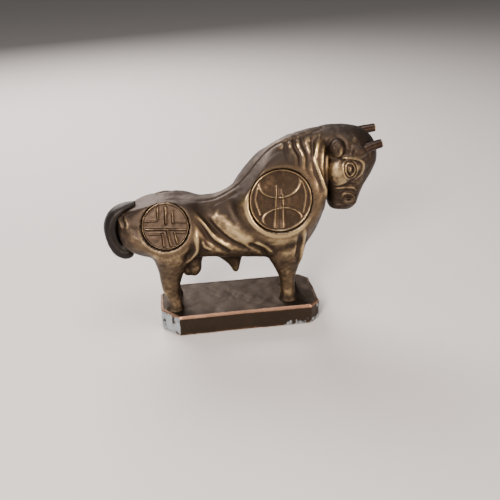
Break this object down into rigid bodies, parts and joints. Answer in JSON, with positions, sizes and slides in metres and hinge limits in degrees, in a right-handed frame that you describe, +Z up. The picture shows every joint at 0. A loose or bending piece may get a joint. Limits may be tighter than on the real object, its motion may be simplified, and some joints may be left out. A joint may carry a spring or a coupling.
{
  "type": "souvenir bull figurine",
  "caption": "Small cast-metal bull standing on a chamfered rectangular plinth, antique-brass finish, with round relief medallions on its shoulders and hips; a shelf ornament.",
  "frame": {"origin": "centre of the plinth's flat underside", "axes": "+X along the plinth towards the bull's head, +Y towards the bull's left flank, +Z up"},
  "size_m": [0.0662, 0.0182, 0.0493],
  "materials": {
    "antique_brass": "rubbed antique plating over cast zinc, bright on raised areas and dark in recesses",
    "medallion_brass": "dark antique plating with rubbed rims",
    "dark_patina": "near-black patina, little rubbed",
    "horn_metal": "dark copper-brown plating",
    "plinth_bronze": "matt brown plating worn to bare metal at the edges",
    "bare_steel": "plain drawn pins"
  },
  "bodies": {
    "root": {"plinth": "plinth_bronze", "body": "antique_brass", "head": "antique_brass", "tail": "dark_patina", "horn_right": "horn_metal", "horn_left": "horn_metal", "shoulder_medallion_right": "medallion_brass", "shoulder_medallion_left": "medallion_brass", "hip_medallion_right": "medallion_brass", "hip_medallion_left": "medallion_brass", "foot_pins": "bare_steel", "neck_dowel": "bare_steel"}
  },
  "joints": []
}
